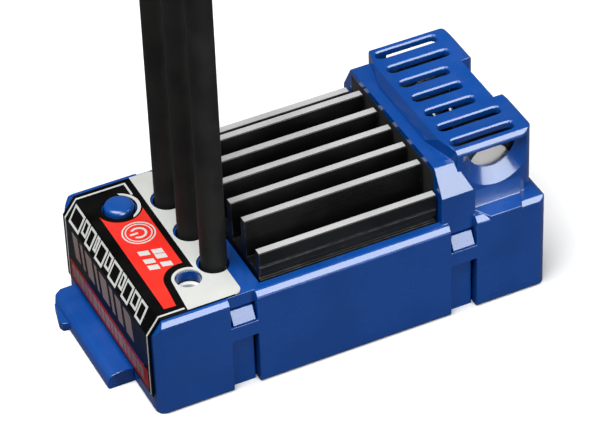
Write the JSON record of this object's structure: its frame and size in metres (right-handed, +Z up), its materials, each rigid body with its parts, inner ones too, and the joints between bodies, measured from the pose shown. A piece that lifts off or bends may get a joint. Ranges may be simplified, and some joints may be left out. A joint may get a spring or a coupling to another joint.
{
  "type": "electronic speed controller",
  "caption": "Small waterproof brushless motor speed controller: moulded case, finned heat sink, vented capacitor tower and upright motor leads.",
  "frame": {"origin": "centre of the flat underside of the base plate", "axes": "+Z up out of the deck, +X from the labelled front end to the capacitor tower, +Y to the far long side"},
  "size_m": [0.0631, 0.031, 0.0762],
  "materials": {
    "blue_plastic": "glossy moulded blue nylon",
    "button_plastic": "glossy moulded blue plastic",
    "black_anodised": "black anodised, fin edges machined bright",
    "label_film": "printed laminated label film in black, white and red",
    "silicone_wire": "soft black silicone insulation",
    "black_rubber": "moulded black rubber",
    "collar_plastic": "grey moulded plastic",
    "led_lens": "smoked clear epoxy",
    "board": "green solder mask over glass laminate",
    "chip_epoxy": "moulded black epoxy",
    "steel": "zinc plated steel",
    "tinned_wire": "tinned copper wire",
    "can_aluminium": "drawn aluminium",
    "capacitor_sleeve": "black shrink sleeve",
    "thermal_pad": "soft grey-blue silicone pad",
    "gold_plate": "gold plated brass",
    "solder": "bright tin solder",
    "switch_plastic": "cream moulded plastic",
    "shrink_tube": "blue heat-shrink tubing"
  },
  "bodies": {
    "case": {"housing": "blue_plastic", "base_plate": "blue_plastic", "heat_sink": "black_anodised", "wrap_label": "label_film", "motor_lead_near": "silicone_wire", "motor_lead_middle": "silicone_wire", "motor_lead_far": "silicone_wire", "base_seal": "black_rubber", "fin_end_pad": "black_rubber", "lead_seal": "black_rubber", "battery_grommet_near": "black_rubber", "battery_grommet_far": "black_rubber", "receiver_grommet": "black_rubber", "capacitor_bung_near": "black_rubber", "capacitor_bung_far": "black_rubber", "led_collar": "collar_plastic", "status_led": "led_lens", "power_board": "board", "control_board": "board", "microcontroller": "chip_epoxy", "voltage_regulator": "chip_epoxy", "board_header": "chip_epoxy", "mosfet_1": "chip_epoxy", "mosfet_2": "chip_epoxy", "mosfet_3": "chip_epoxy", "mosfet_4": "chip_epoxy", "mosfet_5": "chip_epoxy", "mosfet_6": "chip_epoxy", "gate_driver_1": "chip_epoxy", "gate_driver_2": "chip_epoxy", "gate_driver_3": "chip_epoxy", "heat_sink_screw_1": "steel", "heat_sink_screw_2": "steel", "heat_sink_screw_3": "steel", "heat_sink_screw_4": "steel", "capacitor_lead_near_positive": "tinned_wire", "capacitor_lead_near_negative": "tinned_wire", "capacitor_lead_far_positive": "tinned_wire", "capacitor_lead_far_negative": "tinned_wire", "capacitor_can_near": "can_aluminium", "capacitor_can_far": "can_aluminium", "capacitor_sleeve_near": "capacitor_sleeve", "capacitor_sleeve_far": "capacitor_sleeve", "thermal_pad": "thermal_pad", "bullet_socket_near": "gold_plate", "bullet_socket_middle": "gold_plate", "bullet_socket_far": "gold_plate", "solder_joint_near": "solder", "solder_joint_middle": "solder", "solder_joint_far": "solder", "switch_body": "switch_plastic", "connector_sleeve_near": "shrink_tube", "connector_sleeve_middle": "shrink_tube", "connector_sleeve_far": "shrink_tube"},
    "button": {"power_button": "button_plastic"},
    "plunger": {"switch_plunger": "chip_epoxy"}
  },
  "joints": [
    {"name": "button_press", "type": "slide", "parent": "case", "child": "button", "axis": [0, 0, -1], "range_m": [0, 0.0005], "stiffness_N_per_m": 1200, "springref_m": -0.0004},
    {"name": "plunger_press", "type": "slide", "parent": "case", "child": "plunger", "axis": [0, 0, -1], "range_m": [0, 0.0005]}
  ],
  "couplings": [
    {"joint": "plunger_press", "follows": "button_press", "ratio": 1}
  ]
}
